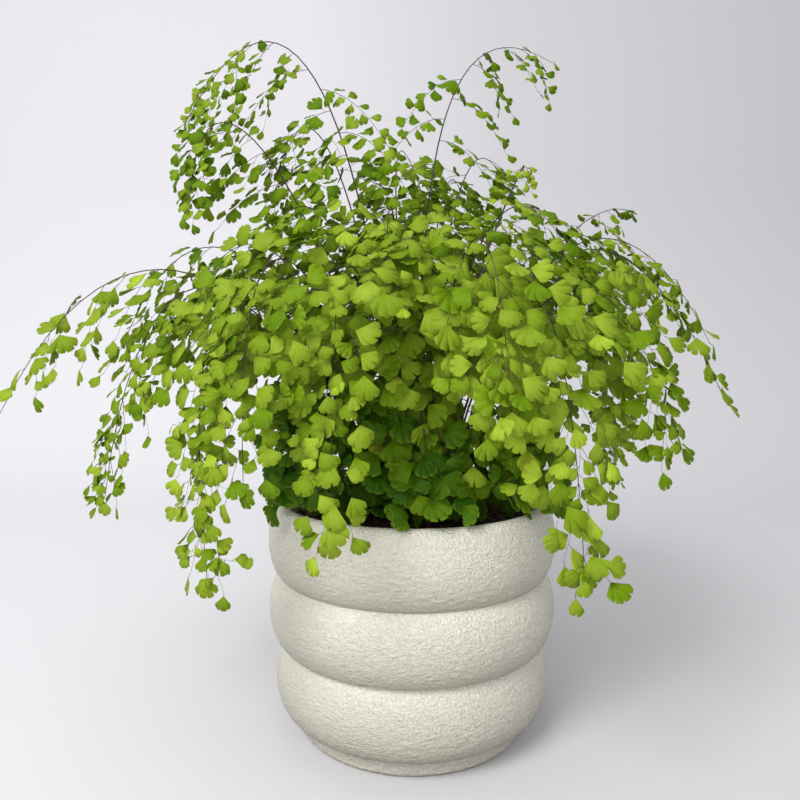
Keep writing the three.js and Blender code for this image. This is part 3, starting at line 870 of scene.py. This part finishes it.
class Growth:
    """The leaflets and the wires of one frond while it grows."""

    def __init__(self, seed, age, habit):
        self.draw = random.Random(seed)
        self.age = age
        self.habit = habit
        self.leaflets = []
        self.strands = []

    def face_at(self, place):
        """The way that leaflets face at a place."""
        outward = Vector((place.x, place.y, 0)).normalized()
        return (outward * OUTWARD + Vector(self.habit.light)).normalized()

    def leaning(self, along, face, side, share, habit):
        """A direction that leans off a rib to one side, less towards its end."""
        across = face.cross(along).normalized() * side
        first, last = habit["lean"]
        stray = self.draw.uniform(-habit["stray"], habit["stray"])
        lean = radians(first + (last - first) * share + stray)
        return along * cos(lean) + across * sin(lean)

    def leaflet(self, place, aim, size, face, thin):
        """A leaflet on its petiole, turned to the light and sinking a little."""
        draw = self.draw
        aim = (aim - NOD * draw.uniform(*LEAFLET["nod_varies"]) * UP).normalized()
        petiole = LEAFLET["petiole"] * size * draw.uniform(*LEAFLET["petiole_varies"])
        for _ in range(4):
            base = place + aim * petiole + face * (LEAFLET["lift"] * size)
            if clear_of_pot(place, base, base + 0.5 * size * aim, base + size * aim):
                break
            aim = (aim + 0.5 * UP).normalized()
        else:
            return
        thin = max(thin, PETIOLE)
        self.strands.append([(place, thin), (base + 0.04 * size * aim, 0.8 * thin)])
        normal = face - aim * face.dot(aim)
        if normal.length < 0.15:
            normal = aim.orthogonal()
        normal.normalize()
        normal.rotate(Quaternion(aim, draw.gauss(0, TWIST)))
        tilt = Quaternion(aim.cross(normal), draw.gauss(0.08, 0.22))
        aim.rotate(tilt)
        normal.rotate(tilt)
        if draw.random() < 0.5:
            normal = -normal
        turn = Matrix((aim.cross(normal), aim, normal)).transposed()
        first, last = (BROAD, len(FANS)) if size < SMALL else (0, BROAD)
        number = draw.randrange(first, last)
        placing = Matrix.Translation(base * MM) @ (turn * (size * MM)).to_4x4()
        youth = min(1.0, max(0.0, self.age + draw.gauss(0, 0.10)))
        self.leaflets.append((number, placing, (youth, draw.random(), 0.0)))

    def spray(self, rib, size, face, thick, twigs=0):
        """Leaflets that alternate along a rib, with one at its end."""
        draw = self.draw
        length = curve_length(rib)
        steps = max(2, round(length / 6))
        line = drawn(rib, steps)
        radii = [thick * (1 - 0.5 * i / steps) for i in range(steps + 1)]
        self.strands.append(list(zip(line, radii)))
        side = draw.choice((-1, 1))
        gone = 0.55 * size
        while gone < length - 0.45 * size:
            share = gone / length
            here = size * (1 - LEAFLET["taper"] * share) * draw.uniform(*LEAFLET["vary"])
            place, along = bezier(rib, share), heading(rib, share)
            aim = self.leaning(along, face, side, share, LEAFLET)
            if twigs > 0:
                reach = TWIG["reach"] * here
                end = place + aim * reach - UP * (TWIG["sag"] * reach)
                rib_of_twig = [place, place.lerp(end, 0.5), end]
                self.spray(rib_of_twig, TWIG["leaf"] * here, face, TWIG["thick"] * thick)
                twigs -= 1
                gone += TWIG["room"] * here
            else:
                self.leaflet(place, aim, here, face, 0.5 * thick)
            gone += self.habit.step * here
            side = -side
        end = size * (1 - LEAFLET["taper"]) * draw.uniform(0.95, 1.15)
        self.leaflet(line[-1], heading(rib, 1.0), end, face, 0.5 * thick)

    def pinna(self, curve, at, side, length, size, thick):
        """A pinna that leaves the stalk to one side and droops."""
        draw = self.draw
        start, along = bezier(curve, at), heading(curve, at)
        face = self.face_at(start)
        aim = self.leaning(along, face, side, at, PINNA)
        aim.rotate(Quaternion(along, radians(draw.gauss(0, PINNA["turn"]))))
        aim.z = min(aim.z, PINNA["rise"]) - PINNA["sag"]
        aim.normalize()
        if length < 1.15 * size:
            self.leaflet(start, aim, size, face, 0.6 * thick)
            return
        end = start + aim * (PINNA["reach"] * length) - UP * (self.habit.droop * length)
        rib = [start, start + aim * (PINNA["straight"] * length), end]
        while not clear_of_pot(*(bezier(rib, share) for share in (0.25, 0.5, 0.75, 1.0))):
            rib = [start, rib[1] + 2 * UP, rib[2] + 5 * UP]
        twigs = min(self.habit.twigs, int(length / (1.6 * size)))
        self.spray(rib, size, face, thick, twigs)

    def frond(self, curve, row, stalk):
        """The stalk and all its pinnae."""
        thin = stalk * STALK["tip"]
        shares = [0, 0] + [i / STALK["steps"] for i in range(2, STALK["steps"] + 1)]
        radii = [stalk + (thin - stalk) * share ** STALK["taper"] for share in shares]
        self.strands.append(list(zip(stalk_line(curve), radii)))
        size = self.habit.size * row.leaf
        side = self.draw.choice((-1, 1))
        at = self.habit.start
        place = bezier(curve, at)
        while at < 0.985:
            share = float(np.interp(at, PINNA_AT, PINNA_SHARE)) ** self.habit.shorten
            here = size * (1 - self.habit.fade * max(0.0, at - 0.4) / 0.6)
            thick = stalk * (0.32 - 0.14 * at)
            length = row.spread * share * self.draw.uniform(*PINNA["vary"])
            self.pinna(curve, at, side, length, here, thick)
            side = -side
            gap = self.habit.pinnae * here * (0.55 + 0.45 * share)
            walked = 0.0
            while walked < gap and at < 1:
                at += 0.004
                step = bezier(curve, at)
                walked += (step - place).length
                place = step
        last = size * (0.96 - self.habit.fade)
        self.leaflet(curve[-1], heading(curve, 1.0), last, self.face_at(curve[-1]), thin)


def coil_points(curve):
    """The end of the young stalk, rolled inwards over the side that it came from."""
    ahead = heading(curve, 1.0)
    inward = ahead.cross(Vector((0, 1, 0))).normalized()
    eye = curve[-1] + inward * COIL["radius"]
    points = []
    for i in range(1, COIL["steps"] + 1):
        share = i / COIL["steps"]
        turn = share * COIL["turns"] * 2 * pi
        radius = COIL["radius"] + share * (COIL["end"] - COIL["radius"])
        points.append(eye + (sin(turn) * ahead - cos(turn) * inward) * radius)
    return points


# ---- operators


class FERN_OT_stage(bpy.types.Operator):
    """Lay seamless paper, hang the lights and set up the camera"""

    bl_idname = "fern.stage"
    bl_label = "Stage"

    def execute(self, context):
        settings = context.scene.fern_stage
        paper = primitive("plane", size=1)
        rows = [(x, y) for y in (PAPER["front"], PAPER["back"]) for x in (-1, 1)]
        for vertex, (x, y) in zip(paper.data.vertices, rows):
            vertex.co = (x * PAPER["side"], y, 0)
        self.pick(paper, lambda end: end.y > 1)
        bpy.ops.mesh.extrude_region_move(
            TRANSFORM_OT_translate={"value": (0, 0, PAPER["rise"])}
        )
        mode("OBJECT")
        self.pick(paper, lambda end: end.y > 1 and end.z < 0.1)
        bpy.ops.mesh.bevel(offset=PAPER["bend"], segments=16, profile=0.5)
        bpy.ops.mesh.select_all(action="SELECT")
        bpy.ops.mesh.faces_shade_smooth()
        mode("OBJECT")
        paper.name = "seamless_paper"
        paper.data.materials.append(paper_material(settings))

        self.room(context, settings.room)
        context.scene.view_settings.view_transform = "Standard"
        self.lamp("key", settings.key)
        self.lamp("fill", settings.fill)
        self.camera(context)
        return {"FINISHED"}

    def pick(self, paper, wanted):
        """Selects the edges whose ends are both wanted, and stays in edit mode."""
        mode("EDIT")
        bpy.ops.mesh.select_mode(type="EDGE")
        bpy.ops.mesh.select_all(action="DESELECT")
        mode("OBJECT")
        for edge in paper.data.edges:
            edge.select = all(wanted(paper.data.vertices[i].co) for i in edge.vertices)
        mode("EDIT")

    def room(self, context, strength):
        """A pale room that is brightest overhead."""
        recipe = Recipe("studio_room", "worlds")
        rise = recipe.part(recipe.add("TexCoord").outputs["Generated"], "Z")
        rise = recipe.spread(rise, 0.05, 1.0, 0.5 * strength, 1.6 * strength)
        seen = recipe.add("LightPath").outputs["Is Camera Ray"]
        glow = recipe.add("Mix", {"Factor": seen, "A": rise, "B": 1.05 * strength})
        sky = {"Color": (0.98, 0.985, 1.0, 1), "Strength": glow.outputs["Result"]}
        context.scene.world = recipe.done(recipe.add("Background", sky), "World")

    def lamp(self, name, energy):
        """A square soft light that looks at the middle of the plant."""
        place, size = LAMPS[name]
        light = bpy.data.lights.new(name, "AREA")
        light.size = size
        light.energy = energy
        lamp = placed(name, light)
        lamp.location = place
        aim = Vector(LAMP_AIM) - Vector(place)
        lamp.rotation_euler = aim.to_track_quat("-Z", "Y").to_euler()

    def camera(self, context):
        """A camera close in front of the plant, a little above its middle."""
        lens = bpy.data.cameras.new("front_camera")
        lens.lens = CAMERA["lens"]
        lens.clip_start = 0.01
        camera = placed("front_camera", lens)
        camera.location = [part * MM for part in CAMERA["place"]]
        camera.rotation_euler = (radians(90 - CAMERA["tilt"]), 0, 0)
        context.scene.camera = camera


class FERN_OT_pot(bpy.types.Operator):
    """Model the ribbed pot and its saucer with their hammered glaze"""

    bl_idname = "fern.pot"
    bl_label = "Pot and saucer"

    def execute(self, context):
        settings = context.scene.fern_pot
        glaze = glaze_material(settings)
        grain = settings.grain
        for node, profile, weight in (
            ("pot", pot_profile(0.7), pot_relief),
            ("saucer", saucer_profile(), saucer_relief),
        ):
            piece = turned(f"{node}_glazed", profile, settings.steps)
            dented(piece, weight, settings.relief, (grain, grain, 0.5 * grain))
            finish_piece(piece, glaze, "glazed_pot", node)
        return {"FINISHED"}


class FERN_OT_mix(bpy.types.Operator):
    """Heap the potting mix, with crumbs on its surface"""

    bl_idname = "fern.mix"
    bl_label = "Potting mix"

    def execute(self, context):
        settings = context.scene.fern_mix
        peat, coir = mix_material(settings), dry_material("coir_fibre", settings.fibre)
        heap = turned("mix_heap", mix_profile(), HEAP["steps"])
        dented(heap, mix_relief, HEAP["relief"] * MM, (HEAP["cell"] * MM,) * 3, 4)
        kinds = [self.crumb(i) for i in range(CRUMB_KINDS)]
        crumbs = copies("mix_crumbs", kinds, self.places(settings))
        fibres = wires("mix_fibres", self.strands(settings))
        for piece, material in ((heap, peat), (crumbs, peat), (fibres, coir)):
            finish_piece(piece, material, "potting_mix", "potting_mix")
        return {"FINISHED"}

    def crumb(self, number):
        """An angular lump about one unit across."""
        draw = random.Random(number)
        lump = primitive("ico_sphere", subdivisions=1, radius=0.5)
        for vertex in lump.data.vertices:
            vertex.co *= draw.uniform(0.72, 1.2)
            vertex.co.z *= 0.7
        return shape_of(lump)

    def strands(self, settings):
        """Short fibres that lie curled on the mix."""
        draw = random.Random(SEEDS["fibres"])
        edge = inner_radius(MIX["edge"]) - 9
        strands = []
        for _ in range(settings.fibres):
            radius = edge * sqrt(draw.random())
            middle = around(radius, draw.uniform(0, 2 * pi))
            middle.z = mix_height(radius) + draw.uniform(0.6, 1.8)
            along = around(1, draw.uniform(0, 2 * pi), draw.uniform(-0.12, 0.2))
            aside = along.cross(UP) * draw.uniform(-0.4, 0.4)
            half = draw.uniform(2.5, 6.5)
            thick = draw.uniform(0.16, 0.3)
            ends = [middle - along * half, middle + aside * half, middle + along * half]
            strands.append([(end, thick) for end in ends])
        return strands

    def places(self, settings):
        """Where the crumbs lie, by a spiral with small random steps."""
        draw = random.Random(SEEDS["crumbs"])
        edge = inner_radius(MIX["edge"]) - 2.5
        placings = []
        for i in range(settings.crumbs):
            radius = edge * sqrt((i + 0.5) / settings.crumbs) * draw.uniform(0.97, 1.0)
            turn = i * GOLDEN_TURN + draw.uniform(-0.4, 0.4)
            size = settings.lump * draw.uniform(0.25, 1.0) ** 1.6 + 0.8 * MM
            place = around(radius, turn, mix_height(radius) + draw.uniform(-0.6, 0.9))
            spin = Quaternion((draw.gauss(0, 1), draw.gauss(0, 1), draw.gauss(0, 1)), 2.0)
            spin = Quaternion(UP, draw.uniform(0, 6.28)) @ spin.normalized()
            grow = Matrix.Diagonal((size, size * draw.uniform(0.6, 1.0), size * 0.8, 1))
            matrix = Matrix.Translation(place * MM) @ spin.to_matrix().to_4x4() @ grow
            placings.append((draw.randrange(CRUMB_KINDS), matrix, (0.5, 0.5, 0.0)))
        return placings


class FERN_OT_stubs(bpy.types.Operator):
    """Stand the dry stubs of old fronds at the right of the crown"""

    bl_idname = "fern.stubs"
    bl_label = "Old stubs"

    def execute(self, context):
        settings = context.scene.fern_stubs
        draw = random.Random(SEEDS["stubs"])
        strands = []
        for _ in range(settings.stubs):
            outward = around(1, radians(draw.gauss(STUBS["towards"], STUBS["spread"])))
            foot = outward * draw.uniform(*STUBS["reach"])
            foot.z = MIX["edge"] - 2
            rise = draw.uniform(*STUBS["height"])
            lean = draw.uniform(*STUBS["lean"])
            bend = outward.cross(UP) * draw.uniform(-3, 3)
            thick = settings.radius / MM
            points = [foot, foot + UP * 0.55 * rise + outward * 0.3 * lean * rise + bend]
            points.append(foot + UP * rise + outward * lean * rise)
            strands.append(list(zip(points, (thick, 0.85 * thick, 0.6 * thick))))
        dry = dry_material("dry_stub", settings.dry)
        finish_piece(wires("old_stubs", strands), dry, "stalk")
        return {"FINISHED"}


class FERN_OT_fronds(bpy.types.Operator):
    """Grow every open frond: its wiry stalk and all its leaflets"""

    bl_idname = "fern.fronds"
    bl_label = "Fronds"

    def execute(self, context):
        settings = context.scene.fern_plant
        stalk = settings.stalk / MM
        leaf, wire = leaf_material(settings), stalk_material(settings)
        fans = [fan_shape(fan) for fan in FANS]
        rows = [*FRONDS.values(), YOUNG]
        curves = [frond_curve(root, row) for root, row in zip(roots_of(rows), rows)]
        grown = {}
        for i, (name, row) in enumerate(FRONDS.items()):
            draw = random.Random(settings.seed * 1000 + i)
            habit = habit_of(name)
            age = habit.age + draw.uniform(-0.14, 0.14)
            grown[name] = Growth(settings.seed * 100 + i, age, habit)
            grown[name].frond(curves[i], row, stalk)
        grown["young"] = self.young(curves[-1], stalk)
        for name, growth in grown.items():
            leaves = copies(f"leaves_{name}", fans, growth.leaflets)
            finish_piece(leaves, leaf, "leaf", f"frond_{name}")
            stalks = wires(f"stalks_{name}", growth.strands)
            finish_piece(stalks, wire, "stalk", f"frond_{name}")
        return {"FINISHED"}

    def young(self, curve, stalk):
        """The frond still uncurling."""
        growth = Growth(SEEDS["young"], 0.8, habit_of("spray_tall"))
        line = stalk_line(curve) + coil_points(curve)
        last = len(line) - 1
        radii = [stalk * (1 - 0.74 * (i / last) ** 0.8) for i in range(last + 1)]
        growth.strands.append(list(zip(line, radii)))
        for n, at in enumerate(SPRIGS):
            length = YOUNG.spread * (1.3 - at)
            growth.pinna(curve, at, 1 if n % 2 else -1, 1.6 * length, YOUNG.leaf, 0.16 * stalk)
        for place in line[-1::-4][:3]:
            growth.leaflet(place, -UP, 0.7 * YOUNG.leaf, growth.face_at(place), 0.12 * stalk)
        return growth


class FERN_PT_panel(bpy.types.Panel):
    """Buttons and settings of the fern"""

    bl_label = "Maidenhair fern"
    bl_idname = "FERN_PT_panel"
    bl_space_type = "VIEW_3D"
    bl_region_type = "UI"
    bl_category = "Fern"

    def draw(self, context):
        for settings, (group, operator) in STEPS.items():
            box = self.layout.box()
            for key in group.__annotations__:
                box.prop(getattr(context.scene, settings), key)
            box.operator(operator.bl_idname)


# The settings and the operator of each step, in the order in which they run.
STEPS = {
    "fern_stage": (FERN_PG_stage, FERN_OT_stage),
    "fern_pot": (FERN_PG_pot, FERN_OT_pot),
    "fern_mix": (FERN_PG_mix, FERN_OT_mix),
    "fern_stubs": (FERN_PG_stubs, FERN_OT_stubs),
    "fern_plant": (FERN_PG_plant, FERN_OT_fronds),
}
CLASSES = [item for step in STEPS.values() for item in step] + [FERN_PT_panel]


def register():
    """Adds the classes and hangs their settings on the scene."""
    for item in CLASSES:
        bpy.utils.register_class(item)
    for name, (group, _) in STEPS.items():
        setattr(bpy.types.Scene, name, bpy.props.PointerProperty(type=group))


def unregister():
    """Takes the settings and the classes away."""
    for name in STEPS:
        delattr(bpy.types.Scene, name)
    for item in reversed(CLASSES):
        bpy.utils.unregister_class(item)


def main():
    """Builds the whole plant."""
    register()
    for _, operator in STEPS.values():
        getattr(bpy.ops.fern, operator.bl_idname.split(".")[1])()


if __name__ == "__main__":
    main()
